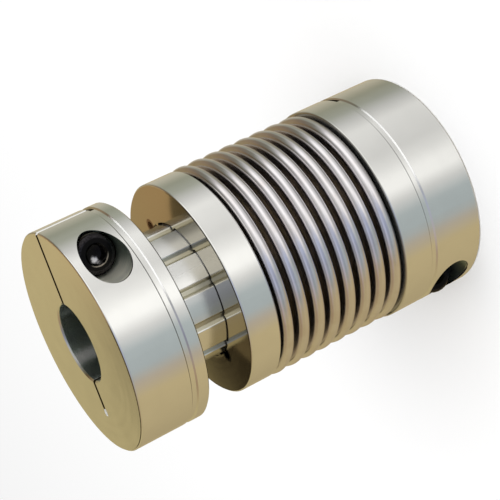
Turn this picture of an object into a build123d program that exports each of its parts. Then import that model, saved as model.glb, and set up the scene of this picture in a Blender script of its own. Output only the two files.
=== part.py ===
from build123d import *
import os
from math import sqrt

# Plug-in bellows coupling, 40 mm class, for two 14 mm shafts.
# It stands on the end face of its rear hub: the origin is the centre of that face and +Z runs up
# the shaft axis to the plug hub. Every clamp screw lies along X with its head towards +X.

# ---- Clamp hubs, plug and rear -------------------------------------------------------------
hub_d = 40.0                # outside diameter of both clamp hubs
bore_d = 14.0               # shaft bore
plug_hub_length = 13.0      # the disc of the plug hub, without its splined stub
rear_hub_length = 16.4
edge_chamfer = 0.3          # broken outer corners of every turned piece
bore_chamfer = 0.3          # lead-in at both ends of a shaft bore
rear_hub_turn = -4.6        # degrees about Z by which the rear hub's slit stands off the plug hub's

# ---- Clamp slit, cut by wire from the rim through the bore -----------------------------------
slit_width = 0.9
wire_hole_d = 1.2           # start hole at which the slit ends
slit_past_bore = 6.1        # from the bore's wall to the middle of the start hole
wire_hole_reach = bore_d / 2 + slit_past_bore
slot_width = 0.8            # saw slot across the hub behind the clamping ears
slot_from_face = 10.2       # from the clamp face to the middle of the slot
slot_past_slit = 0.25       # how far the slot runs on beyond the slit's far wall
rim_groove_depth = 0.25     # a turned groove round the whole rim, with the saw slot in its floor
rim_groove_width = slot_width + 2 * rim_groove_depth    # at the rim: its sides slope at 45 degrees

# ---- Clamp screw, M4 x 12 socket head -------------------------------------------------------
screw_d = 4.0
screw_length = 12.0
screw_head_d = 7.0
screw_head_height = 4.0
screw_head_round = 0.4
screw_tip_chamfer = 0.5
hex_key_width = 3.0
hex_depth = 2.0
hex_cone_height = 0.8
hex_mouth_d = 3.8           # over the chamfered mouth of the key socket
hex_mouth_depth = 0.45
screw_from_rim = 5.2        # from the rim to the screw's axis
screw_offset = hub_d / 2 - screw_from_rim
screw_from_face = 5.4       # from the clamp face to the screw's axis
screw_seat_from_slit = 4.95 # metal between the slit and the seat under the head
head_clearance = 0.3        # radial room of the counterbore round the head
shank_clearance = 0.25      # radial room of the plain hole round the shank
thread_clearance = 0.03     # radial room in the tapped half of the hole

# ---- Spline between the plug hub and the socket ring ------------------------------------------
lobe_count = 12
spline_d = 24.4             # over the lobes of the stub
spline_groove_depth = 0.6
spline_groove_width = 1.9   # at the rim of the stub
spline_groove_floor = 0.7   # width of the groove's flat floor
lobe_edge_round = 0.15      # along both edges of every lobe of the stub
spline_clearance = 0.03     # room between stub and socket, on every side
stub_length = 16.0
stub_tip_chamfer = 0.6
plug_gap = 8.5              # open gap between the plug hub and the socket ring at rest

# ---- Socket ring -----------------------------------------------------------------------------
ring_below_hub = 0.5        # how far the ring's rim lies below the rims of the hubs
ring_d = hub_d - 2 * ring_below_hub
ring_length = 6.0
socket_depth = 16.0         # whole length of the internal spline, through ring and sleeve
sleeve_wall = 2.4           # of the sleeve that carries the spline on inside the bellows
sleeve_d = spline_d + 2 * sleeve_wall
socket_lead_in = 0.6
relief_hole_d = 2.0         # two start holes at opposite lobes of the socket
relief_hole_past_lobe = 0.78
relief_hole_reach = spline_d / 2 + relief_hole_past_lobe
relief_hole_lobe = 4        # the lobe, counted round from +X, that the first start hole opens

# ---- Bellows ---------------------------------------------------------------------------------
convolution_count = 8
convolution_pitch = 3.2
crest_below_hub = 0.3       # how far the crests lie below the rims of the hubs
bellows_d = hub_d - 2 * crest_below_hub
sleeve_room = 0.4           # open space between the sleeve and the roots
bellows_bore_d = sleeve_d + 2 * sleeve_room
bellows_wall = 0.2
crest_width = 2.2           # over the outside of one crest
neck_length = 3.0           # plain end of the bellows, bonded into a groove of hub and ring
bond_gap = 0.05             # adhesive film on each side of a neck
bond_end_gap = 0.1          # adhesive under the end of a neck

# ---- Cutting solids ---------------------------------------------------------------------------
overcut = 1.0               # how far a cutting solid runs past the metal that it cuts

# ---- Heights that follow ---------------------------------------------------------------------
bellows_length = convolution_count * convolution_pitch
ring_bottom = rear_hub_length + bellows_length
ring_top = ring_bottom + ring_length
plug_bottom = ring_top + plug_gap
plug_top = plug_bottom + plug_hub_length


def turned(*corners):
    """A solid of revolution about Z from its half section, given as (radius, height) corners."""
    outline = Plane.XZ * make_face(Polyline(*corners, close=True))
    return revolve(outline, Axis.Z)


def tube(outer_d, inner_d, bottom, top):
    """A plain ring about Z."""
    return turned((inner_d / 2, bottom), (outer_d / 2, bottom), (outer_d / 2, top), (inner_d / 2, top))


def along_screw(radius, start, end):
    """A round bar along X from start to end, on the line of the clamp screw."""
    place = Plane(origin=(start, -screw_offset, screw_from_face), z_dir=(1, 0, 0))
    return extrude(place * Circle(radius), end - start)


# ---- Clamp hub -------------------------------------------------------------------------------
def hub_blank(length):
    """The turned hub, clamp face at height 0 and body above it, with its bore and rim groove."""
    rim = hub_d / 2
    bore = bore_d / 2
    groove_floor = rim - rim_groove_depth
    return turned(
        (bore + bore_chamfer, 0),
        (rim - edge_chamfer, 0),
        (rim, edge_chamfer),
        (rim, slot_from_face - rim_groove_width / 2),
        (groove_floor, slot_from_face - slot_width / 2),
        (groove_floor, slot_from_face + slot_width / 2),
        (rim, slot_from_face + rim_groove_width / 2),
        (rim, length - edge_chamfer),
        (rim - edge_chamfer, length),
        (bore, length),
        (bore, bore_chamfer),
    )


def clamp_cuts():
    """Everything cut out of a hub to make it clamp, with its screw on the -Y side."""
    depth = slot_from_face
    slit = Pos(0, (wire_hole_reach - hub_d) / 2, depth / 2) * Box(
        slit_width, wire_hole_reach + hub_d, depth
    )
    wire_hole = Pos(0, wire_hole_reach, depth / 2) * Cylinder(wire_hole_d / 2, depth)
    slot_end = slit_width / 2 + slot_past_slit
    slot = Pos((slot_end - hub_d) / 2, 0, slot_from_face) * Box(
        slot_end + hub_d, 2 * hub_d, slot_width
    )
    return slit + wire_hole + slot + screw_hole()


def screw_hole():
    """Tapped half, plain half and counterbore on the line of the clamp screw."""
    seat = slit_width / 2 + screw_seat_from_slit
    tapped = along_screw(screw_d / 2 + thread_clearance, -hub_d, 0)
    plain = along_screw(screw_d / 2 + shank_clearance, 0, hub_d)
    counterbore = along_screw(screw_head_d / 2 + head_clearance, seat, hub_d)
    return tapped + plain + counterbore


def clamp_hub(length):
    return hub_blank(length) - clamp_cuts()


def clamp_screw():
    """The socket head cap screw in its hub: head towards +X, seated on the counterbore's floor."""
    shank = screw_d / 2
    head = screw_head_d / 2
    tip = -screw_length
    profile = make_face(
        Line((0, tip), (shank - screw_tip_chamfer, tip))
        + Line((shank - screw_tip_chamfer, tip), (shank, tip + screw_tip_chamfer))
        + Line((shank, tip + screw_tip_chamfer), (shank, 0))
        + Line((shank, 0), (head, 0))
        + Line((head, 0), (head, screw_head_height - screw_head_round))
        + ThreePointArc(
            (head, screw_head_height - screw_head_round),
            (
                head - screw_head_round * (1 - sqrt(0.5)),
                screw_head_height - screw_head_round * (1 - sqrt(0.5)),
            ),
            (head - screw_head_round, screw_head_height),
        )
        + Line((head - screw_head_round, screw_head_height), (0, screw_head_height))
        + Line((0, screw_head_height), (0, tip))
    )
    screw = revolve(Plane.XZ * profile, Axis.Z) - hex_socket()
    seat = slit_width / 2 + screw_seat_from_slit
    return Plane(origin=(seat, -screw_offset, screw_from_face), z_dir=(1, 0, 0)) * screw


def hex_socket():
    """The key socket, sunk from the top of the head, with a drilled cone below it."""
    floor = screw_head_height - hex_depth
    corner = hex_key_width / sqrt(3)
    flats = Pos(0, 0, floor) * extrude(RegularPolygon(corner, 6), hex_depth)
    cone = Pos(0, 0, floor - hex_cone_height / 2) * Cone(0, hex_key_width / 2, hex_cone_height)
    mouth = Pos(0, 0, screw_head_height - hex_mouth_depth / 2) * Cone(
        hex_mouth_d / 2 - hex_mouth_depth, hex_mouth_d / 2, hex_mouth_depth
    )
    return flats + cone + mouth


# ---- Spline ----------------------------------------------------------------------------------
def spline_section(room):
    """The lobed outline, grown by room on every side: 0 for the stub, the clearance for the socket.

    The circle is turned so that its seam falls in a groove and is cut away.
    """
    radius = spline_d / 2
    floor = radius - spline_groove_depth + room
    rim = radius + overcut
    flank = (spline_groove_width - spline_groove_floor) / 2 / spline_groove_depth
    half_floor = spline_groove_floor / 2 - room
    half_rim = half_floor + flank * (rim - floor)
    groove = make_face(
        Polyline((floor, -half_floor), (rim, -half_rim), (rim, half_rim), (floor, half_floor), close=True)
    )
    step = 360 / lobe_count
    section = Rot(0, 0, step / 2) * Circle(radius + room)
    for index in range(lobe_count):
        section -= Rot(0, 0, (index + 0.5) * step) * groove
    return section


def stub_section():
    """The stub's lobed outline, with both edges of every lobe rounded."""
    section = spline_section(0)
    halfway_down = (spline_d - spline_groove_depth) / 2
    edges = [corner for corner in section.vertices() if corner.center().length > halfway_down]
    return fillet(edges, lobe_edge_round)


def splined_stub():
    """The male spline, hanging below height 0, with a chamfered tip."""
    radius = spline_d / 2
    bar = Pos(0, 0, -stub_length) * extrude(stub_section(), stub_length)
    envelope = turned(
        (0, -stub_length),
        (radius - stub_tip_chamfer, -stub_length),
        (radius + overcut, stub_tip_chamfer + overcut - stub_length),
        (radius + overcut, 0),
        (0, 0),
    )
    return bar & envelope


# ---- Pieces ----------------------------------------------------------------------------------
def plug_hub():
    """Clamp hub and splined stub, one turned and milled piece, bored through."""
    face_up = Pos(0, 0, plug_top) * Rot(180, 0, 0)
    bore = bore_d / 2
    tip = plug_bottom - stub_length
    through = turned(
        (0, tip - overcut),
        (bore + bore_chamfer + overcut, tip - overcut),
        (bore, tip + bore_chamfer),
        (bore, plug_bottom),
        (0, plug_bottom),
    )
    stub = Pos(0, 0, plug_bottom) * splined_stub() - through
    return face_up * clamp_hub(plug_hub_length) + stub


def plug_clamp_screw():
    return Pos(0, 0, plug_top) * Rot(180, 0, 0) * clamp_screw()


def rear_hub():
    """Clamp hub with the groove that holds the lower neck of the bellows."""
    turn = Rot(0, 0, rear_hub_turn)
    return turn * clamp_hub(rear_hub_length) - neck_groove(rear_hub_length, -1)


def rear_clamp_screw():
    return Rot(0, 0, rear_hub_turn) * clamp_screw()


def neck_groove(face, direction):
    """Room for a bellows neck, from a face into the metal: direction is 1 for up, -1 for down."""
    inner_d = bellows_bore_d - 2 * bond_gap
    outer_d = bellows_bore_d + 2 * bellows_wall + 2 * bond_gap
    far = face + direction * (neck_length + bond_end_gap)
    near = face - direction * overcut
    return tube(outer_d, inner_d, min(near, far), max(near, far))


def socket_ring():
    """Ring with the internal spline, carried on by a sleeve that reaches into the bellows."""
    rim = ring_d / 2
    sleeve = sleeve_d / 2
    sleeve_end = ring_top - socket_depth
    ring = turned(
        (0, ring_top),
        (rim - edge_chamfer, ring_top),
        (rim, ring_top - edge_chamfer),
        (rim, ring_bottom + edge_chamfer),
        (rim - edge_chamfer, ring_bottom),
        (sleeve, ring_bottom),
        (sleeve, sleeve_end + edge_chamfer),
        (sleeve - edge_chamfer, sleeve_end),
        (0, sleeve_end),
    )
    cavity = extrude(spline_section(spline_clearance), socket_depth + 2 * overcut)
    mouth = spline_d / 2 + spline_clearance
    lead_in = turned(
        (0, ring_top - socket_lead_in),
        (mouth, ring_top - socket_lead_in),
        (mouth + socket_lead_in, ring_top),
        (0, ring_top),
    )
    ring -= Pos(0, 0, sleeve_end - overcut) * cavity
    return ring - (lead_in & full_lobes()) - relief_holes() - neck_groove(ring_bottom, 1)


def full_lobes():
    """The part of the socket's mouth where lobes enter, so that the lead-in spares the teeth."""
    grown = spline_section(spline_clearance + socket_lead_in / 2)
    return Pos(0, 0, ring_bottom) * extrude(grown, ring_length + overcut)


def relief_holes():
    """Two opposite start holes that open into the socket's lobes, through ring and sleeve."""
    angle = relief_hole_lobe * 360 / lobe_count
    hole = Pos(relief_hole_reach, 0, ring_top - socket_depth / 2) * Cylinder(
        relief_hole_d / 2, socket_depth + 2 * overcut
    )
    return Rot(0, 0, angle) * hole + Rot(0, 0, angle + 180) * hole


def bellows_skin(side):
    """One skin of the bellows as edges in the XZ half plane: side is 1 outside, -1 inside."""
    crest_radius = crest_width / 2 - bellows_wall / 2 + side * bellows_wall / 2
    root_radius = convolution_pitch / 2 - crest_radius
    crest_centre = bellows_d / 2 - crest_width / 2
    root_gap = (convolution_pitch - crest_width) / 2
    root_centre = bellows_bore_d / 2 + bellows_wall + root_gap
    neck = root_centre - root_radius
    root_bend = root_radius * sqrt(0.5)
    bottom = rear_hub_length
    edges = [Line((neck, bottom - neck_length), (neck, bottom))]
    for index in range(convolution_count):
        low = bottom + index * convolution_pitch
        high = low + convolution_pitch
        middle = (low + high) / 2
        wall_low = low + root_radius
        wall_high = high - root_radius
        rise = ThreePointArc(
            (neck, low), (root_centre - root_bend, low + root_bend), (root_centre, wall_low)
        )
        crest = ThreePointArc(
            (crest_centre, wall_low), (crest_centre + crest_radius, middle), (crest_centre, wall_high)
        )
        fall = ThreePointArc(
            (root_centre, wall_high), (root_centre - root_bend, high - root_bend), (neck, high)
        )
        edges += [rise, Line(rise @ 1, crest @ 0), crest, Line(crest @ 1, fall @ 0), fall]
    top = bottom + bellows_length
    edges.append(Line((neck, top), (neck, top + neck_length)))
    return edges


def bellows():
    """Thin-walled bellows: U-shaped convolutions between two plain necks."""
    outer = bellows_skin(1)
    inner = bellows_skin(-1)
    ends = [Line(outer[0] @ 0, inner[0] @ 0), Line(outer[-1] @ 1, inner[-1] @ 1)]
    section = make_face([edge for part in outer + inner + ends for edge in part.edges()])
    return revolve(Plane.XZ * section, Axis.Z)


nodes = {
    "plug_hub": plug_hub(),
    "plug_clamp_screw": plug_clamp_screw(),
    "socket_ring": socket_ring(),
    "bellows": bellows(),
    "rear_hub": rear_hub(),
    "rear_clamp_screw": rear_clamp_screw(),
}

os.makedirs("parts", exist_ok=True)
for name, shape in nodes.items():
    export_step(shape, f"parts/{name}.step")
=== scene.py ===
import math

import bmesh
import bpy
from mathutils import Matrix, Vector


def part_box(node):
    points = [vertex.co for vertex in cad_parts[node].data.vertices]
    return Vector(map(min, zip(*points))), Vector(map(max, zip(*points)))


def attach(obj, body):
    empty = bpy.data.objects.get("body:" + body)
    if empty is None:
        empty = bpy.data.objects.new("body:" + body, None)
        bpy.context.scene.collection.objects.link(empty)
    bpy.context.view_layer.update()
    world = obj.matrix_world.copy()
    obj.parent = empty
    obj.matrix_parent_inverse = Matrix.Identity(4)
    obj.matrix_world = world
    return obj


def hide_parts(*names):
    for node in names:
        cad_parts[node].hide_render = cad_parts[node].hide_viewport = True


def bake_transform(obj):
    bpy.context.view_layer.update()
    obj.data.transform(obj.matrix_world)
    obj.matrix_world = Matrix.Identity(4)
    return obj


bl_info = {
    "name": "Plug-in Bellows Coupling",
    "version": (1, 0, 0),
    "blender": (4, 5, 0),
    "location": "View3D > Sidebar > Coupling",
    "description": "Bellows, clamp screws, metal finishes and studio of a plug-in bellows coupling",
    "category": "Add Mesh",
}

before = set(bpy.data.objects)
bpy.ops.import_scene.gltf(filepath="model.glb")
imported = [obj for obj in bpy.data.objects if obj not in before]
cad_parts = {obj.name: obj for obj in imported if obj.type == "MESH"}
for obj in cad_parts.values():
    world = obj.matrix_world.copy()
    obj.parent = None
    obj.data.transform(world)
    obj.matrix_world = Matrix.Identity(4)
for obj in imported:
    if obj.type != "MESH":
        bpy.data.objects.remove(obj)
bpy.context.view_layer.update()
MM = 0.001
WHITE = (1.0, 0.99, 0.97)

BELLOWS_LOW, BELLOWS_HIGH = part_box("bellows")
RING_LOW, RING_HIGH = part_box("socket_ring")
PLUG_LOW, PLUG_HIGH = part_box("plug_hub")
REAR_LOW, REAR_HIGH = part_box("rear_hub")
PLUG_SCREW_LOW, PLUG_SCREW_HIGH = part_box("plug_clamp_screw")

# Machined features that the finishes follow, in millimetres: rims and holes by their radius, and a
# slit, slot or groove by its side, which is half its width.
HUB_RIM = PLUG_HIGH.x / MM
RING_RIM = RING_HIGH.x / MM
PLUG_BODY = 13.0          # length of the plug hub without its stub
STUB_RIM = 12.5
STUB_VALLEY = 11.9        # floor of the spline's grooves
BORE = 7.0
CORNER = 0.3              # chamfer of the turned corners
SLIT_SIDE = 0.45
WIRE_HOLE = 0.6           # hole at which the wire-cut slit ends
WIRE_HOLE_REACH = 13.1
SLOT_HEIGHT = 10.2        # saw slot and rim groove, from the clamp face
SLOT_SIDE = 0.4
GROOVE_SIDE = 0.65
COUNTERBORE = 3.8
TAPPED_HOLE = 2.03
SOCKET_MOUTH = 12.85
RELIEF_HOLE = 1.0         # start holes of the internal spline
RELIEF_HOLE_REACH = 12.98
RELIEF_HOLE_ANGLE = -60.0


# ---- Sizes and colours ------------------------------------------------------------------------
class BellowsSizes(bpy.types.PropertyGroup):
    """Sizes of the thin-walled bellows."""

    convolutions: bpy.props.IntProperty(
        name="Convolutions", description="Number of outward folds", default=8, min=1
    )
    outer_radius: bpy.props.FloatProperty(
        name="Crest radius", description="From the shaft axis to the top of a fold",
        default=BELLOWS_HIGH.x, unit="LENGTH", precision=5,
    )
    inner_radius: bpy.props.FloatProperty(
        name="Neck radius", description="Inside radius of the necks",
        default=15.0 * MM, unit="LENGTH", precision=5,
    )
    wall: bpy.props.FloatProperty(
        name="Wall", description="Thickness of the sheet", default=0.2 * MM, unit="LENGTH", precision=5
    )
    crest_width: bpy.props.FloatProperty(
        name="Crest width", description="Outside width of one fold",
        default=2.2 * MM, unit="LENGTH", precision=5,
    )
    rear_neck: bpy.props.FloatProperty(
        name="Rear neck", description="Length of the plain end seated in the rear hub",
        default=2.8 * MM, unit="LENGTH", precision=5,
    )
    ring_neck: bpy.props.FloatProperty(
        name="Ring neck", description="Length of the plain end seated in the socket ring",
        default=3.125 * MM, unit="LENGTH", precision=5,
    )
    rear_fold: bpy.props.FloatProperty(
        name="Rear fold", description="Height of the fold next to the rear hub, wider than the rest",
        default=3.38 * MM, unit="LENGTH", precision=5,
    )
    facets: bpy.props.IntProperty(
        name="Facets", description="Facets round the shaft axis", default=192, min=24
    )


class ScrewSizes(bpy.types.PropertyGroup):
    """Sizes of the socket head cap screws."""

    thread_radius: bpy.props.FloatProperty(
        name="Thread radius", description="Outside radius of the thread",
        default=2.0 * MM, unit="LENGTH", precision=5,
    )
    core_radius: bpy.props.FloatProperty(
        name="Core radius", description="Radius at the root of the thread",
        default=1.6 * MM, unit="LENGTH", precision=5,
    )
    pitch: bpy.props.FloatProperty(
        name="Pitch", description="Advance of the thread in one turn",
        default=0.7 * MM, unit="LENGTH", precision=5,
    )
    shank_length: bpy.props.FloatProperty(
        name="Shank length", description="From the seat to the tip",
        default=12.0 * MM, unit="LENGTH", precision=5,
    )
    head_radius: bpy.props.FloatProperty(
        name="Head radius", description="Outside radius of the head",
        default=3.5 * MM, unit="LENGTH", precision=5,
    )
    head_height: bpy.props.FloatProperty(
        name="Head height", description="From the seat to the top of the head",
        default=4.0 * MM, unit="LENGTH", precision=5,
    )
    head_round: bpy.props.FloatProperty(
        name="Head rounding", description="Radius round the top of the head",
        default=0.8 * MM, unit="LENGTH", precision=5,
    )
    knurl_depth: bpy.props.FloatProperty(
        name="Knurl depth", description="Depth of the flutes down the side of the head",
        default=0.07 * MM, unit="LENGTH", precision=5,
    )
    key_width: bpy.props.FloatProperty(
        name="Key width", description="Across the flats of the key socket",
        default=3.0 * MM, unit="LENGTH", precision=5,
    )
    key_depth: bpy.props.FloatProperty(
        name="Key depth", description="Depth of the key socket",
        default=2.0 * MM, unit="LENGTH", precision=5,
    )
    key_mouth_radius: bpy.props.FloatProperty(
        name="Key mouth radius", description="Radius over the chamfered mouth of the key socket",
        default=1.9 * MM, unit="LENGTH", precision=5,
    )


class FinishColours(bpy.types.PropertyGroup):
    """Colours of the metals, and the turn of the rear hub that its finish and screw follow."""

    aluminium: bpy.props.FloatVectorProperty(
        name="Aluminium", description="Bare turned aluminium of the hubs and the ring",
        default=(0.86, 0.86, 0.835), subtype="COLOR", min=0.0, max=1.0,
    )
    steel: bpy.props.FloatVectorProperty(
        name="Stainless steel", description="Formed sheet of the bellows",
        default=(0.79, 0.77, 0.79), subtype="COLOR", min=0.0, max=1.0,
    )
    oxide: bpy.props.FloatVectorProperty(
        name="Black oxide", description="Blackened steel of the clamp screws",
        default=(0.007, 0.006, 0.006), subtype="COLOR", min=0.0, max=1.0,
    )
    rear_turn: bpy.props.FloatProperty(
        name="Rear hub turn", description="Turn of the rear hub's slit about the shaft axis",
        default=math.radians(-4.6), subtype="ANGLE",
    )


class StudioLook(bpy.types.PropertyGroup):
    """Camera, lamps and the colours that the bright metal mirrors."""

    aim: bpy.props.FloatVectorProperty(
        name="Aim", description="Point that the camera looks at",
        default=(-0.0004, 0.0014, 0.0345), subtype="XYZ", unit="LENGTH", precision=5,
    )
    azimuth: bpy.props.FloatProperty(
        name="Azimuth", description="Direction of the camera, from +X towards +Y",
        default=math.radians(16.5), subtype="ANGLE",
    )
    elevation: bpy.props.FloatProperty(
        name="Elevation", description="Height of the camera above the horizon",
        default=math.radians(22.585), subtype="ANGLE",
    )
    roll: bpy.props.FloatProperty(
        name="Roll", description="Turn of the camera about its own view line",
        default=math.radians(-116.04), subtype="ANGLE",
    )
    distance: bpy.props.FloatProperty(
        name="Distance", description="From the aim to the camera",
        default=0.2677, unit="LENGTH", precision=4,
    )
    lens: bpy.props.FloatProperty(
        name="Focal length", description="Focal length on a 36 mm sensor", default=110.35,
        subtype="DISTANCE_CAMERA",
    )
    floor: bpy.props.FloatVectorProperty(
        name="Floor", description="Colour of the floor", default=(0.99, 0.99, 0.99),
        subtype="COLOR", min=0.0, max=1.0,
    )
    warm: bpy.props.FloatVectorProperty(
        name="Warm board", description="Tan board that faces the clamp faces",
        default=(0.56, 0.45, 0.25), subtype="COLOR", min=0.0, max=1.0,
    )
    cool: bpy.props.FloatVectorProperty(
        name="Cool board", description="Blue-grey board between the warm board and the softbox",
        default=(0.47, 0.52, 0.53), subtype="COLOR", min=0.0, max=1.0,
    )
    olive: bpy.props.FloatVectorProperty(
        name="Olive board", description="Dim board behind the softbox",
        default=(0.32, 0.33, 0.26), subtype="COLOR", min=0.0, max=1.0,
    )
    umber: bpy.props.FloatVectorProperty(
        name="Umber board", description="Dark board high on the warm side",
        default=(0.09, 0.06, 0.03), subtype="COLOR", min=0.0, max=1.0,
    )
    sky: bpy.props.FloatVectorProperty(
        name="Sky board", description="Violet-blue board over the cool one",
        default=(0.50, 0.55, 0.70), subtype="COLOR", min=0.0, max=1.0,
    )
    softbox: bpy.props.FloatProperty(
        name="Softbox", description="Brightness of the softbox as the metal mirrors it",
        default=1.18, min=0.0,
    )
    key_power: bpy.props.FloatProperty(
        name="Key lamp", description="Power of the lamp over the floor in watts",
        default=1.6, min=0.0,
    )
    fill: bpy.props.FloatProperty(
        name="Fill", description="Strength of the white surroundings", default=0.84, min=0.0
    )


# ---- Profiles and meshes ----------------------------------------------------------------------
class Outline:
    """A line drawn in the XZ half plane of a bmesh, to be spun round the Z axis."""

    def __init__(self, mesh, x, z):
        self.mesh = mesh
        self.tip = mesh.verts.new((x, 0, z))
        self.first = self.tip

    def line(self, x, z):
        """Carries the line straight on to a point."""
        made = bmesh.ops.extrude_vert_indiv(self.mesh, verts=[self.tip])
        self.tip = made["verts"][0]
        self.tip.co = Vector((x, 0, z))

    def arc(self, x, z, degrees, steps):
        """Carries the line on round a centre; positive degrees turn from +X towards +Z."""
        made = bmesh.ops.spin(
            self.mesh, geom=[self.tip], cent=(x, 0, z), axis=(0, -1, 0),
            angle=math.radians(degrees), steps=steps,
        )
        self.tip = made["geom_last"][0]

    def close(self):
        """Joins the line's end to its start."""
        self.mesh.edges.new((self.tip, self.first))


def spin_round(mesh, facets):
    """Spins everything in a bmesh round the Z axis into closed faces that point outwards."""
    bmesh.ops.spin(
        mesh, geom=mesh.verts[:] + mesh.edges[:], cent=(0, 0, 0), axis=(0, 0, 1),
        angle=math.tau, steps=facets, use_merge=True,
    )
    bmesh.ops.remove_doubles(mesh, verts=mesh.verts[:], dist=0.001 * MM)
    bmesh.ops.dissolve_degenerate(mesh, edges=mesh.edges[:], dist=0.0005 * MM)
    bmesh.ops.recalc_face_normals(mesh, faces=mesh.faces[:])


def smooth_below(mesh, degrees):
    """Shades a bmesh smooth, apart from edges sharper than an angle."""
    limit = math.radians(degrees)
    for face in mesh.faces:
        face.smooth = True
    for edge in mesh.edges:
        edge.smooth = len(edge.link_faces) == 2 and edge.calc_face_angle() < limit


def new_piece(name, mesh):
    """Makes an object from a bmesh and frees it."""
    data = bpy.data.meshes.new(name)
    mesh.to_mesh(data)
    mesh.free()
    piece = bpy.data.objects.new(name, data)
    bpy.context.scene.collection.objects.link(piece)
    return piece


def combine(piece, other, operation):
    """Adds another piece's shape or takes it away, and removes the other piece."""
    modifier = piece.modifiers.new("combine", "BOOLEAN")
    modifier.operation = operation
    modifier.solver = "EXACT"
    modifier.object = other
    shaped = bpy.data.meshes.new_from_object(
        piece.evaluated_get(bpy.context.evaluated_depsgraph_get())
    )
    piece.modifiers.remove(modifier)
    piece.data = shaped
    bpy.data.objects.remove(other)


# ---- Shader maths -----------------------------------------------------------------------------
class Value:
    """A number inside a material; arithmetic on it adds Math nodes."""

    def __init__(self, finish, socket):
        self.finish = finish
        self.socket = socket

    def math(self, operation, first, second=0.0):
        return self.finish.node("ShaderNodeMath", {"operation": operation}, {0: first, 1: second})

    def __add__(self, other):
        return self.math("ADD", self, other)

    def __radd__(self, other):
        return self.math("ADD", other, self)

    def __sub__(self, other):
        return self.math("SUBTRACT", self, other)

    def __rsub__(self, other):
        return self.math("SUBTRACT", other, self)

    def __mul__(self, other):
        return self.math("MULTIPLY", self, other)

    def __rmul__(self, other):
        return self.math("MULTIPLY", other, self)

    def __truediv__(self, other):
        return self.math("DIVIDE", self, other)

    def __rtruediv__(self, other):
        return self.math("DIVIDE", other, self)

    def __pow__(self, other):
        return self.math("POWER", self, other)

    def __abs__(self):
        return self.math("ABSOLUTE", self)

    def root(self):
        return self.math("SQRT", self)

    def fraction(self):
        return self.math("FRACT", self)

    def larger(self, other):
        return self.math("MAXIMUM", self, other)

    def angle_to(self, other):
        """The angle of a point whose height is this value and whose reach is the other."""
        return self.math("ARCTAN2", self, other)

    def rise(self, low, high):
        """0 below low, 1 above high and smooth between them; high below low turns it round."""
        settings = {"interpolation_type": "SMOOTHSTEP", "clamp": True}
        if low > high:
            return 1 - self.rise(high, low)
        return self.finish.node(
            "ShaderNodeMapRange", settings, {"Value": self, "From Min": low, "From Max": high}
        )

    def within(self, low, high, soft):
        """1 between low and high, falling to 0 over soft on both sides."""
        return self.rise(low - soft, low) * self.rise(high + soft, high)


class Finish:
    """A material or a world under construction, with one method that adds any node."""

    def __init__(self, name, shader="ShaderNodeBsdfPrincipled", world=None):
        self.material = world or bpy.data.materials.new(name)
        self.material.use_nodes = True
        self.tree = self.material.node_tree
        self.tree.nodes.clear()
        output = self.tree.nodes.new("ShaderNodeOutputWorld" if world else "ShaderNodeOutputMaterial")
        self.shader = self.tree.nodes.new(shader)
        self.tree.links.new(self.shader.outputs[0], output.inputs["Surface"])

    def feed(self, node, sockets):
        """Sets or links the sockets of a node."""
        for key, value in sockets.items():
            if isinstance(value, Value):
                self.tree.links.new(value.socket, node.inputs[key])
            else:
                node.inputs[key].default_value = value

    def node(self, kind, settings, sockets, output=0):
        """Adds a node: settings first, then its sockets, and gives one of its outputs."""
        made = self.tree.nodes.new(kind)
        for key, value in settings.items():
            if key == "stops":
                self.set_stops(made.color_ramp, value)
            else:
                setattr(made, key, value)
        self.feed(made, sockets)
        return Value(self, made.outputs[output])

    def set_stops(self, ramp, stops):
        """Gives a ramp its stops, as pairs of place and colour."""
        while len(ramp.elements) < len(stops):
            ramp.elements.new(0.5)
        for element, (place, colour) in zip(ramp.elements, stops):
            element.position = place
            element.color = colour

    def set(self, **sockets):
        """Sets or links the shader's own sockets, named with underscores for spaces."""
        self.feed(self.shader, {key.replace("_", " "): value for key, value in sockets.items()})

    def position(self, rotation=(0, 0, 0), location=(0, 0, 0)):
        """Object coordinates turned, moved and given in millimetres."""
        raw = self.node("ShaderNodeTexCoord", {}, {}, "Object")
        placed = self.node(
            "ShaderNodeMapping", {"vector_type": "POINT"},
            {"Vector": raw, "Rotation": rotation, "Location": location},
        )
        return self.node("ShaderNodeVectorMath", {"operation": "SCALE"}, {0: placed, "Scale": 1 / MM})

    def split(self, vector):
        """The x, y and z of a vector."""
        made = self.tree.nodes.new("ShaderNodeSeparateXYZ")
        self.feed(made, {0: vector})
        return [Value(self, socket) for socket in made.outputs]

    def join(self, x, y, z):
        """A vector from three values."""
        return self.node("ShaderNodeCombineXYZ", {}, {0: x, 1: y, 2: z})

    def streaks(self, place, scale, detail=2.0):
        """One-dimensional noise along a value, as turning marks are."""
        settings = {"noise_dimensions": "1D"}
        return self.node("ShaderNodeTexNoise", settings, {"W": place, "Scale": scale, "Detail": detail})

    def cloud(self, vector, scale, detail=3.0):
        """Three-dimensional noise."""
        return self.node("ShaderNodeTexNoise", {}, {"Vector": vector, "Scale": scale, "Detail": detail})

    def blend(self, amount, first, second):
        """Mixes two colours."""
        settings = {"data_type": "RGBA", "clamp_factor": True}
        return self.node("ShaderNodeMix", settings, {0: amount, 6: first, 7: second}, 2)

    def coats(self, tint, *layers):
        """Lays colours over a tint, from pairs of amount and colour."""
        for amount, colour in layers:
            tint = self.blend(amount, tint, opaque(colour))
        return tint

    def bump(self, height, depth, under=None):
        """A normal from a height between 0 and 1, depth metres deep, over another normal."""
        sockets = {"Height": height, "Distance": depth, "Strength": 1.0}
        if under is not None:
            sockets["Normal"] = under
        return self.node("ShaderNodeBump", {}, sockets)


def opaque(colour, dim=1.0):
    """A colour with full alpha, made darker or lighter by a factor."""
    return (*(channel * dim for channel in colour), 1.0)


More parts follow.
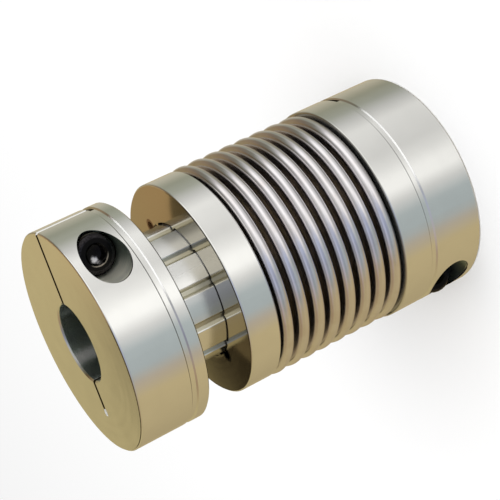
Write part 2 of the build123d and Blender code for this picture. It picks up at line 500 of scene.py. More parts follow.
def dress(node, material):
    """Gives a CAD node its material."""
    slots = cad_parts[node].material_slots
    for slot in slots:
        slot.material = material


# ---- Metals -----------------------------------------------------------------------------------
class Surface:
    """Where a point of a turned piece lies, in millimetres."""

    def __init__(self, finish, rotation=(0, 0, 0), location=(0, 0, 0)):
        self.place = finish.position(rotation, location)
        self.x, self.y, self.z = finish.split(self.place)
        self.radius = (self.x * self.x + self.y * self.y).root()
        self.angle = self.y.angle_to(self.x)


def bare_aluminium(name, surface_of):
    """Turned aluminium: fine marks that follow radius and height, and a faint unevenness."""
    look = bpy.context.scene.coupling_finish
    finish = Finish(name)
    at = surface_of(finish)
    lathe = at.radius + at.z
    fine = finish.streaks(lathe, 7.0, 4.0)
    broad = finish.streaks(lathe, 0.9, 2.0)
    haze = finish.cloud(at.place, 0.22, 3.0)
    rough = 0.07 + 0.04 * fine + 0.03 * broad + 0.04 * haze
    tint = finish.blend(haze.rise(0.35, 0.7) * 0.5, opaque(look.aluminium), opaque(look.aluminium, 0.95))
    normal = finish.bump(fine, 0.00015 * MM)
    return finish, at, tint, rough, normal


def rounding(at, rim, depth):
    """Height that makes a 45 degree corner read as a rounded one, at a depth below its end face."""
    on_corner = (at.radius - depth - (rim - CORNER)).within(-0.02, 0.02, 0.02)
    return on_corner * (depth * (CORNER - depth)).larger(0) * (math.sqrt(2) / CORNER)


def drawn_marks(finish, at):
    """Marks of a tool that was drawn along the shaft, as on a spline."""
    return finish.cloud(finish.join(at.x * 6.0, at.y * 6.0, at.z * 0.25), 1.0, 3.0)


class HubSurface(Surface):
    """Where a point of a clamp hub lies, seen from its clamp face, with a mask for each cut.

    upright is 1 for a hub whose clamp face is its bottom and -1 for one whose clamp face is its top.
    """

    def __init__(self, finish, upright, rotation, location):
        super().__init__(finish, rotation, location)
        self.below_rim = self.radius.rise(HUB_RIM - 0.28, HUB_RIM - 0.4)
        self.bored = self.radius.rise(BORE + 0.12, BORE + 0.05)
        self.find_slit()
        self.find_slot_and_groove(upright)
        self.find_screw_hole()

    def find_slit(self):
        """The wire-cut slit, the start hole at its end, and the lip where it opens in the rim."""
        ear = self.z.within(0.02, SLOT_HEIGHT, 0.03)
        slit = self.x.within(-SLIT_SIDE - 0.01, SLIT_SIDE + 0.01, 0.02) * ear
        self.slit = slit * self.y.rise(WIRE_HOLE_REACH - 0.48, WIRE_HOLE_REACH - 0.52)
        hole = self.x.within(-WIRE_HOLE - 0.02, WIRE_HOLE + 0.02, 0.02) * ear
        self.start_hole = hole * self.y.within(WIRE_HOLE_REACH - 0.55, WIRE_HOLE_REACH + 0.65, 0.05)
        self.wire_cut = self.slit.larger(self.start_hole)
        self.lip = self.slit * self.radius.rise(HUB_RIM - 0.45, HUB_RIM - 0.35)

    def find_slot_and_groove(self, upright):
        """The saw slot, the sloped walls of the groove round the rim, and a painted highlight on part of
        the lower wall.
        """
        above = self.z - SLOT_HEIGHT
        sawn = above.within(-SLOT_SIDE - 0.01, SLOT_SIDE + 0.01, 0.02) * self.below_rim
        self.sawn = sawn * self.radius.rise(BORE + 0.1, BORE + 0.3)
        in_groove = self.radius.within(HUB_RIM - 0.3, HUB_RIM - 0.03, 0.02)
        near, far = SLOT_SIDE + 0.02, GROOVE_SIDE + 0.01
        lower_wall = in_groove * (above * upright).within(-far, -near, 0.02)
        self.upper_wall = in_groove * (above * upright).within(near, far, 0.02)
        # Painted highlight: the lower wall painted white and diffuse over a range of directions round
        # the shaft.
        self.painted_groove_highlight = lower_wall * (self.angle * upright).within(0.45, 1.1, 0.2)

    def find_screw_hole(self):
        """The counterbore and the tapped end of the clamp screw's hole."""
        screw = (PLUG_SCREW_LOW + PLUG_SCREW_HIGH) / 2
        self.across = self.y + screw.y / MM
        self.down = self.z - (PLUG_HIGH.z - screw.z) / MM
        from_screw = (self.across * self.across + self.down * self.down).root()
        drilled = from_screw.rise(COUNTERBORE + 0.06, COUNTERBORE + 0.02)
        self.drilled = drilled * self.below_rim * (1 - self.wire_cut)
        tapped = from_screw.rise(TAPPED_HOLE + 0.07, TAPPED_HOLE + 0.03)
        self.tapped = tapped * self.x.rise(-0.2, -0.5)

    def thread(self):
        """Height of the thread in the tapped hole, one ridge in each turn."""
        pitch = bpy.context.scene.coupling_screws.pitch / MM
        turns = self.x / pitch + self.down.angle_to(self.across) / math.tau
        return abs(turns.fraction() - 0.5) * 2


def hub_tint(finish, at, tint, counterbore_shade, cutter_marks):
    """Colour of a clamp hub's cuts, with painted shade and painted highlights in them, and how far they
    are dull instead of metallic.
    """
    # Painted highlight: a band of the bore at one angle is left bright and made partly diffuse.
    painted_bore_highlight = at.bored * at.angle.within(2.48, 2.54, 0.24)
    # Painted shade: the counterbore darker and green-grey on the side away from the light, and all over
    # by the amount passed in after the tint.
    shade = at.drilled * (at.down * 0.8 - at.across * 0.6).rise(-1.8, 3.0).larger(counterbore_shade)
    scratches = cutter_marks.within(0.49, 0.52, 0.025)
    # Painted light on the counterbore's lit side, made paler and partly diffuse, with real scratch rings
    # paler still.
    lit_side_and_scratches = at.drilled * (1 - shade) * (0.5 + 1.5 * scratches)
    # Painted highlight: the start hole near the clamp face painted near white and mostly diffuse.
    painted_hole_highlight = at.start_hole * at.z.rise(3.0, 2.0)
    tint = finish.coats(
        tint,
        # Painted shade inside the slit and the saw slot.
        (at.slit * (1 - at.lip), (0.13, 0.09, 0.04)),
        (at.sawn * 0.9, (0.16, 0.14, 0.08)),
        # Painted shade: the bore darker and green-grey, apart from its painted highlight.
        (at.bored * (1 - painted_bore_highlight), (0.66, 0.73, 0.69)),
        # Painted shade in the counterbore.
        (shade, (0.4, 0.48, 0.4)),
        (lit_side_and_scratches, (0.86, 0.85, 0.72)),
        (painted_hole_highlight, (0.97, 0.97, 0.94)),
        # Painted shade on the groove's upper wall.
        (at.upper_wall * 0.65, (0.0, 0.0, 0.0)),
        # Painted highlight on the groove's lower wall.
        (at.painted_groove_highlight, (1.0, 1.0, 0.98)),
    )
    # The painted highlights and the counterbore's painted light are made partly diffuse here, which
    # pales them.
    dull = 0.22 * lit_side_and_scratches + 0.2 * painted_bore_highlight + 0.7 * painted_hole_highlight + 0.85 * at.painted_groove_highlight
    return tint, dull


def hub_finish(name, hub_length, counterbore_shade, upright, rotation, location):
    """Aluminium of a clamp hub: turned, wire-cut, sawn, drilled and bored.

    The value after hub_length runs from 0 to 1 and paints shade over the whole counterbore of the clamp
    screw.
    """
    finish, at, tint, rough, normal = bare_aluminium(
        name, lambda made: HubSurface(made, upright, rotation, location)
    )
    grit = finish.cloud(at.place, 9.0, 3.0)
    saw_marks = finish.streaks(at.x + 0.15 * at.y, 5.0, 3.0)
    cutter_marks = finish.streaks(at.x, 1.8, 3.0)
    boring_marks = finish.streaks(at.z, 3.0, 3.0)
    eroded = at.wire_cut * (1 - at.lip)
    rounded = rounding(at, HUB_RIM, hub_length / 2 - abs(at.z - hub_length / 2))
    rounded = rounded - 0.4 * at.slit * (at.radius - (HUB_RIM - 0.4)).larger(0)

    tint, dull = hub_tint(finish, at, tint, counterbore_shade, cutter_marks)
    rough = rough + eroded * (0.3 + 0.1 * grit) + at.lip * 0.15 + at.sawn * 0.2
    rough = rough + at.drilled * (0.2 + 0.25 * cutter_marks) + at.bored * (0.1 + 0.06 * boring_marks)
    heights_and_depths = (
        (rounded, 1.0),
        (grit * eroded, 0.004),
        (saw_marks * at.sawn, 0.006),
        (cutter_marks * at.drilled, 0.03),
        (boring_marks * at.bored, 0.01),
        (at.thread() * at.tapped, 0.3),
    )
    for height, depth in heights_and_depths:
        normal = finish.bump(height, depth * MM, normal)
    return finish, at, tint, rough, dull, normal


def plug_finish():
    """Finish of the plug hub, whose splined stub is milled along the shaft."""
    finish, at, tint, rough, dull, normal = hub_finish(
        "plug_hub_aluminium", PLUG_BODY, 0.0, -1, (math.pi, 0, 0), (0, 0, PLUG_HIGH.z)
    )
    drawn = drawn_marks(finish, at)
    stub = at.z.rise(PLUG_BODY + 0.05, PLUG_BODY + 0.1) * at.radius.rise(BORE + 0.2, BORE + 0.4)
    valley = stub * at.radius.rise(STUB_VALLEY + 0.2, STUB_VALLEY + 0.05)
    lobes = stub * at.radius.rise(STUB_VALLEY + 0.2, STUB_VALLEY + 0.25)
    # Painted light: the lobes made partly diffuse, so paler, over a range of directions round the shaft.
    painted_lobe_light = lobes * at.angle.within(-1.3, -0.6, 0.25)
    back = (at.z - PLUG_BODY).within(-0.02, 0.02, 0.01)
    back = back * at.radius.within(STUB_RIM, HUB_RIM - CORNER, 0.02)
    rough = rough + stub * (0.16 * drawn + 0.02) + valley * 0.08
    tint = finish.coats(
        tint,
        # Painted shade in the spline's grooves, uneven along the milling marks.
        (valley * (0.5 + 0.5 * drawn), (0.5, 0.47, 0.33)),
        # Painted shade on the back face of the plug body, which faces the ring.
        (back, (0.2, 0.17, 0.13)),
    )
    normal = finish.bump(drawn * stub, 0.0025 * MM, normal)
    metal = 1 - dull - 0.35 * painted_lobe_light
    finish.set(Base_Color=tint, Metallic=metal, Roughness=rough, Normal=normal)
    return finish.material


def rear_finish():
    """Finish of the rear hub, turned with its slit, with painted shade beside the bellows and a painted
    highlight on its clamp-face corner.
    """
    look = bpy.context.scene.coupling_finish
    top = REAR_HIGH.z / MM
    # The rear hub's counterbore is painted in shade all over.
    finish, at, tint, rough, dull, normal = hub_finish(
        "rear_hub_aluminium", top, 1.0, 1, (0, 0, -look.rear_turn), (0, 0, 0)
    )
    end_face = at.z.rise(top - 0.03, top - 0.01)
    corner = at.z.rise(top - CORNER, top - 0.05) * (1 - end_face)
    foot = at.z.rise(CORNER - 0.02, CORNER - 0.06) * at.radius.rise(HUB_RIM - 0.35, HUB_RIM - 0.28)
    tint = finish.coats(
        tint,
        # Painted shade on the corner and end face beside the bellows.
        (corner * 0.6, (0.2, 0.2, 0.17)),
        (end_face * 0.6, (0.12, 0.12, 0.1)),
        # Painted highlight: the clamp-face corner painted white and mostly diffuse.
        (foot, (1.0, 1.0, 0.99)),
    )
    metal = 1 - dull - 0.06 * end_face - 0.7 * foot
    finish.set(Base_Color=tint, Metallic=metal, Roughness=rough, Normal=normal)
    return finish.material


def ring_finish():
    """Finish of the socket ring: smooth faced front with painted shade, broached spline with a painted
    shadow line at its mouth, and painted shade and reflection round its start holes.
    """
    finish, at, tint, rough, normal = bare_aluminium("socket_ring_aluminium", Surface)
    bottom, top = RING_LOW.z / MM, RING_HIGH.z / MM
    drawn = drawn_marks(finish, at)
    face = at.z.rise(top - 0.05, top - 0.02)
    mouth = at.radius.rise(SOCKET_MOUTH + 0.03, SOCKET_MOUTH - 0.03)
    near_hole, far_hole = relief_hole_distance(at, 1), relief_hole_distance(at, -1)
    # Painted shade round both start holes: near black round the near one, dark brown round the far one.
    hole_shade_reach = RELIEF_HOLE + 0.52
    near_hole_shade = near_hole.rise(hole_shade_reach, hole_shade_reach - 0.1) * at.z.rise(top - 0.7, top - 0.6)
    far_hole_shade = far_hole.rise(hole_shade_reach, hole_shade_reach - 0.1) * face
    far_hole_wall_reflection = far_hole.rise(RELIEF_HOLE + 0.08, RELIEF_HOLE + 0.04)
    far_hole_wall_reflection = far_hole_wall_reflection * at.radius.rise(SOCKET_MOUTH - 0.55, SOCKET_MOUTH - 0.45)
    rough = rough - 0.03 * face + mouth * 0.1 * drawn
    tint = finish.coats(
        tint,
        # Painted shade on the faced front, darker and browner.
        (face, (0.46, 0.43, 0.35)),
        # Painted shadow line: the lead-in of the spline painted dark.
        (mouth * (1 - face), (0.12, 0.1, 0.08)),
        (near_hole_shade, (0.02, 0.017, 0.012)),
        (far_hole_shade, (0.17, 0.1, 0.06)),
        # Painted reflection: the far start hole's wall painted brown and mostly diffuse.
        (far_hole_wall_reflection, (0.33, 0.17, 0.07)),
    )
    end_depth = (top - bottom) / 2 - abs(at.z - (bottom + top) / 2)
    normal = finish.bump(rounding(at, RING_RIM, end_depth), MM, normal)
    normal = finish.bump(drawn * mouth, 0.0015 * MM, normal)
    finish.set(Base_Color=tint, Metallic=1 - 0.8 * far_hole_wall_reflection, Roughness=rough, Normal=normal)
    return finish.material


def relief_hole_distance(at, side):
    """Distance from the axis of a start hole of the internal spline: 1 the near one, -1 the far."""
    reach = RELIEF_HOLE_REACH * side
    x = at.x - reach * math.cos(math.radians(RELIEF_HOLE_ANGLE))
    y = at.y - reach * math.sin(math.radians(RELIEF_HOLE_ANGLE))
    return (x * x + y * y).root()


def bellows_finish():
    """Formed stainless sheet: bright crests with fine drawing lines, duller flanks and roots, and
    painted shade making flanks and roots darker and browner.
    """
    look = bpy.context.scene.coupling_finish
    finish = Finish("bellows_stainless")
    at = Surface(finish)
    neck = bpy.context.scene.coupling_bellows.inner_radius / MM
    crest = at.radius.rise(neck + 0.4, neck + 2.6)
    fine = finish.streaks(at.radius * 1.7 + at.z, 6.0, 4.0)
    haze = finish.cloud(at.place, 0.35, 3.0)
    flecks = finish.cloud(finish.join(at.angle * 5.0, at.z * 2.5, at.radius), 1.0, 4.0)
    # Painted shade: darker and browner towards the roots between the folds.
    deep = finish.blend(crest, (0.28, 0.24, 0.17, 1.0), opaque(look.steel))
    tint = finish.blend(haze.rise(0.4, 0.75) * 0.3, deep, (0.66, 0.58, 0.53, 1.0))
    rough = 0.13 + 0.05 * fine + 0.05 * flecks + 0.15 * (1 - crest)
    normal = finish.bump(fine, 0.0006 * MM)
    normal = finish.bump(flecks.rise(0.45, 0.8), 0.001 * MM, normal)
    finish.set(Base_Color=tint, Metallic=1.0, Roughness=rough, Normal=normal)
    return finish.material


def screw_finish(name, rotation, location):
    """Black oxide on steel, rubbed brighter on the edges of the head, with a painted highlight on one
    side of the key socket's mouth and a painted glint on its floor.
    """
    look = bpy.context.scene.coupling_finish
    sizes = bpy.context.scene.coupling_screws
    head, mouth = sizes.head_radius / MM, sizes.key_mouth_radius / MM
    finish = Finish(name)
    place = finish.position(rotation, location)
    x, y, z = finish.split(place)
    reach = (y * y + z * z).root()
    grit = finish.cloud(place, 3.0, 4.0)
    marks = finish.streaks(reach, 6.0, 3.0)
    worn = reach.within(head - 0.75, head - 0.2, 0.15) * x.rise(-1.2, -0.4) * grit.rise(0.3, 0.6)
    # Painted highlight on one side of the key socket's mouth.
    key_mouth_highlight = reach.within(mouth - 0.02, mouth + 0.12, 0.06) * x.rise(-0.5, -0.4)
    key_mouth_highlight = key_mouth_highlight * (0 - y - 0.3 * z).rise(0.7, 1.6)
    # Painted glint: a patch of bare steel on one side of the key socket's floor.
    aside = y + 1.2
    from_glint = (aside * aside + z * z).root() + 0.8 * grit
    painted_key_glint = from_glint.rise(1.15, 0.6) * x.rise(-1.1, -1.5) * reach.rise(1.75, 1.7)
    tint = finish.coats(
        opaque(look.oxide),
        (worn * 0.8, (0.035, 0.032, 0.035)),
        (key_mouth_highlight, (0.3, 0.26, 0.22)),
        (painted_key_glint, (0.6, 0.59, 0.6)),
    )
    rough = 0.2 + 0.14 * grit + 0.05 * marks
    normal = finish.bump(grit, 0.0025 * MM)
    normal = finish.bump(marks, 0.001 * MM, normal)
    finish.set(Base_Color=tint, Metallic=1.0, Roughness=rough, Normal=normal)
    finish.set(Coat_Weight=0.12, Coat_Roughness=0.15)
    return finish.material


# ---- Operators --------------------------------------------------------------------------------
class COUPLING_OT_bellows(bpy.types.Operator):
    """Forms the thin-walled bellows between the rear hub and the socket ring"""

    bl_idname = "coupling.bellows"
    bl_label = "Bellows"
    bl_options = {"REGISTER", "UNDO"}

    def execute(self, context):
        sizes = context.scene.coupling_bellows
        low = BELLOWS_LOW.z + sizes.rear_neck
        high = BELLOWS_HIGH.z - sizes.ring_neck
        mesh = bmesh.new()
        outline = Outline(mesh, sizes.inner_radius + sizes.wall, BELLOWS_LOW.z)
        self.skin(outline, sizes, low, high, 0.0)
        outline.line(sizes.inner_radius + sizes.wall, BELLOWS_HIGH.z)
        outline.line(sizes.inner_radius, BELLOWS_HIGH.z)
        self.skin(outline, sizes, high, low, sizes.wall)
        outline.line(sizes.inner_radius, BELLOWS_LOW.z)
        outline.close()
        spin_round(mesh, sizes.facets)
        smooth_below(mesh, 35)
        piece = new_piece("bellows_sheet", mesh)
        piece.data.materials.append(bellows_finish())
        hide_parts("bellows")
        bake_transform(piece)
        return {"FINISHED"}

    def skin(self, outline, sizes, start, end, inset):
        """Draws one skin fold by fold from start to end; inset is the wall for the inner skin."""
        way = math.copysign(1.0, end - start)
        pitch = (abs(end - start) - sizes.rear_fold) / (sizes.convolutions - 1)
        heights = [sizes.rear_fold] + [pitch] * (sizes.convolutions - 1)
        root = (pitch - sizes.crest_width) / 2 + inset
        root_x = sizes.inner_radius + sizes.wall - inset + root
        crest_steps = 14 if inset == 0 else 8
        root_steps = 5
        outline.line(root_x - root, start)
        foot = start
        for height in heights[:: int(way)]:
            crest_x = sizes.outer_radius - inset - (height / 2 - root)
            head = foot + way * height
            outline.arc(root_x, foot, -way * 90, root_steps)
            outline.line(crest_x, foot + way * root)
            outline.arc(crest_x, (foot + head) / 2, way * 180, crest_steps)
            outline.line(root_x, head - way * root)
            outline.arc(root_x, head, -way * 90, root_steps)
            foot = head


class COUPLING_OT_clamp_screws(bpy.types.Operator):
    """Makes both M4 socket head cap screws, with thread, knurl and key socket"""

    bl_idname = "coupling.clamp_screws"
    bl_label = "Clamp screws"
    bl_options = {"REGISTER", "UNDO"}

    def execute(self, context):
        turn = context.scene.coupling_finish.rear_turn
        middle = (PLUG_SCREW_LOW + PLUG_SCREW_HIGH) / 2
        head_top = Vector((PLUG_SCREW_HIGH.x, middle.y, middle.z))
        along_x = Matrix.Rotation(math.pi / 2, 4, "Y")
        plug_place = Matrix.Translation(head_top) @ along_x
        flip = Matrix.Rotation(math.pi, 4, "X")
        rear_place = Matrix.Rotation(turn, 4, "Z") @ flip @ Matrix.Translation((0, 0, -PLUG_HIGH.z))
        self.screw(context, "plug_clamp_screw", "plug", plug_place)
        self.screw(context, "rear_clamp_screw", "rear", rear_place @ plug_place)
        return {"FINISHED"}

    def screw(self, context, node, body, place):
        """One screw, made with its head's top at the origin and its shank below, then placed."""
        sizes = context.scene.coupling_screws
        piece = new_piece(node + "_detailed", self.head_and_core(sizes))
        combine(piece, self.key_cutter(sizes), "DIFFERENCE")
        mesh = bmesh.new()
        mesh.from_mesh(piece.data)
        self.thread(mesh, sizes)
        smooth_below(mesh, 32)
        bmesh.ops.transform(mesh, matrix=place, verts=mesh.verts[:])
        mesh.to_mesh(piece.data)
        mesh.free()
        back = Matrix.Rotation(math.pi / 2, 4, "Y") @ place.inverted()
        piece.data.materials.clear()
        piece.data.materials.append(
            screw_finish(node + "_oxide", back.to_euler("XYZ"), back.to_translation())
        )
        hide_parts(node)
        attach(piece, body)

    def head_and_core(self, sizes):
        """The turned head with its knurl, and the core of the thread."""
        seat = -sizes.head_height
        tip = seat - sizes.shank_length
        chamfer = 0.15 * MM
        shank_radius = sizes.thread_radius - 0.03 * MM
        thread_end = seat - 0.9 * MM
        shank_end = seat - 0.5 * MM
        knurl_top = -sizes.head_round - 0.35 * MM
        facets = 120
        mesh = bmesh.new()
        outline = Outline(mesh, 0, tip)
        outline.line(sizes.core_radius - chamfer, tip)
        outline.line(sizes.core_radius, tip + chamfer)
        outline.line(sizes.core_radius, thread_end)
        outline.line(shank_radius, shank_end)
        outline.line(shank_radius, seat)
        outline.line(sizes.head_radius - chamfer, seat)
        outline.line(sizes.head_radius, seat + chamfer)
        outline.line(sizes.head_radius, knurl_top)
        outline.line(sizes.head_radius, -sizes.head_round)
        outline.arc(sizes.head_radius - sizes.head_round, -sizes.head_round, 90, 6)
        outline.line(0, 0)
        spin_round(mesh, facets)
        for vert in mesh.verts:
            column = round(math.atan2(vert.co.y, vert.co.x) / math.tau * facets)
            on_side = seat + chamfer / 2 < vert.co.z < knurl_top + chamfer
            if on_side and column % 2 and vert.co.xy.length > sizes.head_radius - 0.01 * MM:
                vert.co.xy *= 1 - sizes.knurl_depth / sizes.head_radius
        return mesh

    def key_cutter(self, sizes):
        """What the key socket takes out: a hexagon with a chamfered mouth and a drilled floor."""
        corner = sizes.key_width / math.sqrt(3)
        mouth = 0.45 * MM
        cone = 0.8 * MM
        floor = -sizes.key_depth
        mesh = bmesh.new()
        outline = Outline(mesh, 0, floor - cone)
        outline.line(sizes.key_width / 2 - 0.02 * MM, floor)
        outline.line(sizes.key_mouth_radius - mouth, -mouth)
        outline.line(sizes.key_mouth_radius, 0)
        outline.line(sizes.key_mouth_radius, mouth)
        outline.line(0, mouth)
        spin_round(mesh, 48)
        prism = bmesh.new()
        bmesh.ops.create_cone(
            prism, cap_ends=True, segments=6, radius1=corner, radius2=corner, depth=mouth - floor,
            matrix=Matrix.Translation((0, 0, (mouth + floor) / 2)),
        )
        hexagon = new_piece("key_hexagon", prism)
        combine(hexagon, new_piece("key_round", mesh), "UNION")
        return hexagon

    def thread(self, mesh, sizes):
        """Adds the ridge of the thread, one tooth swept round and along the core."""
        turns = 14
        steps = 28
        tip = -sizes.head_height - sizes.shank_length
        start = tip + 0.15 * MM
        half_root = sizes.pitch * 0.42
        half_crest = sizes.pitch * 0.07
        base = sizes.core_radius - 0.03 * MM
        tooth = [
            mesh.verts.new((base, 0, start - half_root)),
            mesh.verts.new((sizes.thread_radius, 0, start - half_crest)),
            mesh.verts.new((sizes.thread_radius, 0, start + half_crest)),
            mesh.verts.new((base, 0, start + half_root)),
        ]
        bmesh.ops.translate(mesh, verts=tooth, vec=(0, 0, half_root))
        edges = [mesh.edges.new(pair) for pair in zip(tooth, tooth[1:] + tooth[:1])]
        made = bmesh.ops.spin(
            mesh, geom=tooth + edges, cent=(0, 0, 0), axis=(0, 0, 1),
            dvec=(0, 0, sizes.pitch / steps), angle=math.tau * turns, steps=steps * turns,
        )
        last = [item for item in made["geom_last"] if isinstance(item, bmesh.types.BMEdge)]
        bmesh.ops.contextual_create(mesh, geom=edges)
        bmesh.ops.contextual_create(mesh, geom=last)
        bmesh.ops.recalc_face_normals(mesh, faces=mesh.faces[:])


class COUPLING_OT_turned_pieces(bpy.types.Operator):
    """Gives the hubs and the socket ring their machined aluminium"""

    bl_idname = "coupling.turned_pieces"
    bl_label = "Machined aluminium"
    bl_options = {"REGISTER", "UNDO"}

    def execute(self, context):
        dress("plug_hub", plug_finish())
        dress("rear_hub", rear_finish())
        dress("socket_ring", ring_finish())
        return {"FINISHED"}


class COUPLING_OT_studio(bpy.types.Operator):
    """Builds the floor, the boards that the metal mirrors, the lamps and the camera"""

    bl_idname = "coupling.studio"
    bl_label = "Studio"
    bl_options = {"REGISTER", "UNDO"}

    def execute(self, context):
        look = context.scene.coupling_studio
        self.floor(look)
        self.boards(look)
        self.surroundings(context, look)
        self.key_lamp(look)
        self.camera(context, look)
        context.scene.view_settings.view_transform = "Standard"
        return {"FINISHED"}

    def floor(self, look):
        """A wide pale floor that the metal doesn't mirror, because the boards stand below it too."""
        mesh = bmesh.new()
        bmesh.ops.create_circle(mesh, cap_ends=True, segments=96, radius=3.0)
        bmesh.ops.translate(mesh, verts=mesh.verts[:], vec=(0, 0, -0.05 * MM))
        floor = new_piece("studio_floor", mesh)
        finish = Finish("studio_floor_paint", "ShaderNodeBsdfDiffuse")
        finish.set(Color=opaque(look.floor))
        floor.data.materials.append(finish.material)
        floor.visible_glossy = False

    def boards(self, look):
        """A round wall of coloured boards, seen only in what the metal mirrors."""
        mesh = bmesh.new()
        bmesh.ops.create_uvsphere(mesh, u_segments=64, v_segments=32, radius=0.9)
        bmesh.ops.reverse_faces(mesh, faces=mesh.faces[:])
        wall = new_piece("studio_boards", mesh)
        finish = Finish("studio_boards_light", "ShaderNodeEmission")
        x, y, z = finish.split(finish.position())
        azimuth = y.angle_to(x) / math.tau + 0.5
        height = z / (x * x + y * y).root().larger(1.0)
        colour = self.ring_of_boards(finish, azimuth, self.middle_boards(look))
        rings = (
            (self.low_boards(look), -0.1, -1.5),
            (self.upper_boards(look), -0.24, 0.06),
            (self.high_boards(look), 0.34, 0.89),
            (self.top_boards(look), 1.0, 2.0),
        )
        for boards, fades_in, full in rings:
            ring = self.ring_of_boards(finish, azimuth, boards)
            colour = finish.blend(height.rise(fades_in, full), colour, ring)
        beside = azimuth.rise(self.turn(-130), self.turn(-140)) * height.rise(0.388, 0.406)
        brown = finish.blend(
            azimuth.rise(self.turn(-168), self.turn(-161)),
            opaque((0.58, 0.39, 0.19)), opaque(look.umber, 0.3),
        )
        colour = finish.blend(beside, colour, brown)
        finish.set(Color=colour, Strength=1.0)
        wall.data.materials.append(finish.material)
        wall.visible_camera = False
        wall.visible_diffuse = False
        wall.visible_transmission = False
        wall.visible_shadow = False

    def turn(self, degrees):
        """A direction round the shaft axis as a share of the turn that begins at -180 degrees."""
        return (degrees + 180) / 360

    def ring_of_boards(self, finish, azimuth, boards):
        """A ramp of board colours round the shaft axis, from pairs of degrees and colour."""
        stops = [(self.turn(degrees), colour) for degrees, colour in boards]
        return finish.node("ShaderNodeValToRGB", {"stops": stops}, {"Fac": azimuth})

    def low_boards(self, look):
        """What the undersides of the folds mirror."""
        return [
            (-180, opaque(look.warm, 0.75)),
            (-60, opaque(look.warm, 0.92)),
            (-36, opaque(look.cool, 0.75)),
            (-12, opaque(look.cool, 0.75)),
            (15, opaque(WHITE, 0.5)),
            (75, opaque(WHITE, 0.36)),
            (120, opaque(look.olive, 0.5)),
            (150, opaque(look.warm, 0.6)),
            (180, opaque(look.warm, 0.75)),
        ]

    def middle_boards(self, look):
        """What the rims of the hubs and the ring mirror."""
        softbox = opaque(WHITE, look.softbox)
        return [
            (-180, opaque(look.warm)),
            (-135, opaque(look.warm, 0.76)),
            (-88, opaque(look.warm, 0.93)),
            (-58, opaque(look.warm, 0.98)),
            (-42, opaque((0.49, 0.42, 0.33))),
            (-30, opaque(look.cool, 0.92)),
            (-10, opaque(look.cool)),
            (4, opaque(WHITE, 0.78)),
            (16, softbox),
            (27, softbox),
            (40, opaque(WHITE, 0.95)),
            (54, opaque(WHITE, 0.8)),
            (90, opaque(WHITE, 0.97)),
            (106, opaque(WHITE, 0.67)),
            (122, opaque((0.41, 0.42, 0.36))),
            (140, opaque(look.olive)),
            (160, opaque((0.50, 0.475, 0.385))),
            (176, opaque((0.55, 0.50, 0.38))),
        ]

    def upper_boards(self, look):
        """What the clamp faces and the middles of the folds mirror."""
        window = opaque(WHITE, 1.07 * look.softbox)
        return [
            (-180, opaque((0.53, 0.44, 0.23))),
            (-157, opaque((0.51, 0.42, 0.21))),
            (-56, opaque(look.warm, 0.88)),
            (-36, opaque(look.cool, 0.72)),
            (-14, opaque(look.sky, 0.68)),
            (5, opaque(look.sky)),
            (24, opaque(WHITE)),
            (42, window),
            (92, window),
            (99, opaque(WHITE, 1.08)),
            (105, opaque(WHITE, 0.54)),
            (119, opaque(look.olive, 0.62)),
            (137, opaque((0.21, 0.17, 0.125))),
            (152, opaque((0.30, 0.225, 0.14))),
            (170, opaque(look.warm, 0.6)),
        ]

    def high_boards(self, look):
        """What the shoulders of the folds mirror."""
        return [
            (-180, opaque((0.50, 0.41, 0.21))),
            (-130, opaque((0.45, 0.35, 0.18))),
            (-95, opaque((0.37, 0.26, 0.15))),
            (-76, opaque((0.42, 0.31, 0.21))),
            (-58, opaque((0.50, 0.42, 0.38))),
            (-40, opaque((0.49, 0.49, 0.54))),
            (-19, opaque(look.sky, 1.04)),
            (2, opaque(look.sky)),
            (24, opaque(WHITE, 0.56)),
            (46, opaque(WHITE, 0.78)),
            (66, opaque(WHITE, 0.68)),
            (86, opaque(WHITE, 0.43)),
            (104, opaque(WHITE, 0.32)),
            (124, opaque(look.olive, 0.5)),
            (136, opaque(look.umber, 1.1)),
            (165, opaque(look.umber, 3.0)),
        ]

    def top_boards(self, look):
        """What the corners of the hubs and the upper flanks of the folds mirror."""
        return [
            (-180, opaque(look.warm, 0.4)),
            (-100, opaque((0.28, 0.21, 0.15))),
            (-64, opaque((0.22, 0.22, 0.25))),
            (-42, opaque((0.28, 0.29, 0.37))),
            (-10, opaque((0.40, 0.41, 0.46))),
            (31, opaque(WHITE, 0.47)),
            (67, opaque(WHITE, 0.48)),
            (91, opaque(WHITE, 0.42)),
            (109, opaque(WHITE, 0.25)),
            (130, opaque(look.umber, 1.5)),
            (165, opaque(look.umber, 2.0)),
        ]

    def surroundings(self, context, look):
        """A white world: full white to the eye and in mirrors, dimmer as a light."""
        world = bpy.data.worlds.new("studio_world")
        context.scene.world = world
        finish = Finish("studio_world", "ShaderNodeMixShader", world)
        white = (1.0, 1.0, 1.0, 1.0)
        kinds = ("Is Camera Ray", "Is Glossy Ray", "Is Transmission Ray")
        camera, glossy, clear = (finish.node("ShaderNodeLightPath", {}, {}, kind) for kind in kinds)
        light, shown = (
            finish.node("ShaderNodeBackground", {}, {"Color": white, "Strength": strength})
            for strength in (look.fill, 1.0)
        )
        finish.feed(finish.shader, {"Fac": camera.larger(glossy).larger(clear), 1: light, 2: shown})

    def key_lamp(self, look):
        """One large soft lamp above the part, for the floor and its soft shadow."""
        lamp = bpy.data.lights.new("studio_key", "AREA")
        lamp.shape = "DISK"
        lamp.size = 0.5
        lamp.energy = look.key_power
        holder = bpy.data.objects.new("studio_key", lamp)
        bpy.context.scene.collection.objects.link(holder)
        holder.location = (0.25, 0.2, 0.6)
        holder.rotation_euler = (-holder.location).to_track_quat("-Z", "Y").to_euler()
        holder.visible_glossy = False

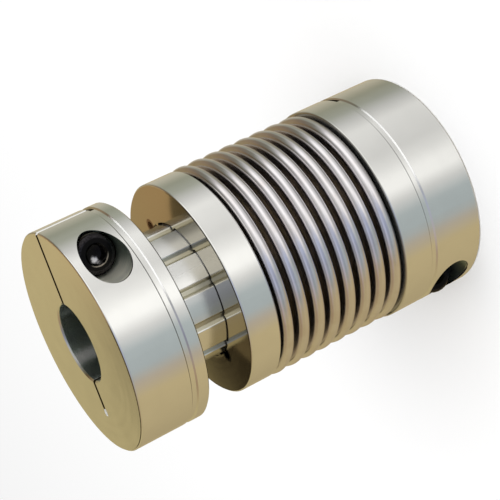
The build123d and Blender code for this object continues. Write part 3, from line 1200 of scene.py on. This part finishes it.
    def camera(self, context, look):
        """Looks down on the clamp face, rolled so that the coupling lies across the picture."""
        camera = bpy.data.cameras.new("studio_camera")
        camera.lens = look.lens
        camera.sensor_width = 36.0
        camera.clip_start = 0.01
        camera.clip_end = 20.0
        holder = bpy.data.objects.new("studio_camera", camera)
        context.scene.collection.objects.link(holder)
        stand = Matrix.Rotation(look.azimuth + math.pi / 2, 4, "Z")
        tilt = Matrix.Rotation(math.pi / 2 - look.elevation, 4, "X")
        roll = Matrix.Rotation(look.roll, 4, "Z")
        out = Matrix.Translation((0, 0, look.distance))
        holder.matrix_world = Matrix.Translation(look.aim) @ stand @ tilt @ roll @ out
        context.scene.camera = holder


# ---- Panel ------------------------------------------------------------------------------------
class COUPLING_PT_panel(bpy.types.Panel):
    """Lists the coupling's pieces and their settings"""

    bl_idname = "COUPLING_PT_panel"
    bl_label = "Bellows coupling"
    bl_space_type = "VIEW_3D"
    bl_region_type = "UI"
    bl_category = "Coupling"

    def draw(self, context):
        scene = context.scene
        parts = (
            (COUPLING_OT_bellows, scene.coupling_bellows),
            (COUPLING_OT_clamp_screws, scene.coupling_screws),
            (COUPLING_OT_turned_pieces, scene.coupling_finish),
            (COUPLING_OT_studio, scene.coupling_studio),
        )
        for operator, settings in parts:
            box = self.layout.box()
            box.operator(operator.bl_idname)
            for key in settings.__annotations__:
                box.prop(settings, key)


GROUPS = {
    "coupling_bellows": BellowsSizes,
    "coupling_screws": ScrewSizes,
    "coupling_finish": FinishColours,
    "coupling_studio": StudioLook,
}
OPERATORS = (
    COUPLING_OT_bellows,
    COUPLING_OT_clamp_screws,
    COUPLING_OT_turned_pieces,
    COUPLING_OT_studio,
)


def register():
    for name, group in GROUPS.items():
        bpy.utils.register_class(group)
        setattr(bpy.types.Scene, name, bpy.props.PointerProperty(type=group))
    for operator in OPERATORS:
        bpy.utils.register_class(operator)
    bpy.utils.register_class(COUPLING_PT_panel)


def unregister():
    bpy.utils.unregister_class(COUPLING_PT_panel)
    for operator in reversed(OPERATORS):
        bpy.utils.unregister_class(operator)
    for name, group in reversed(GROUPS.items()):
        delattr(bpy.types.Scene, name)
        bpy.utils.unregister_class(group)


def main():
    register()
    bpy.ops.coupling.bellows()
    bpy.ops.coupling.clamp_screws()
    bpy.ops.coupling.turned_pieces()
    bpy.ops.coupling.studio()


if __name__ == "__main__":
    main()
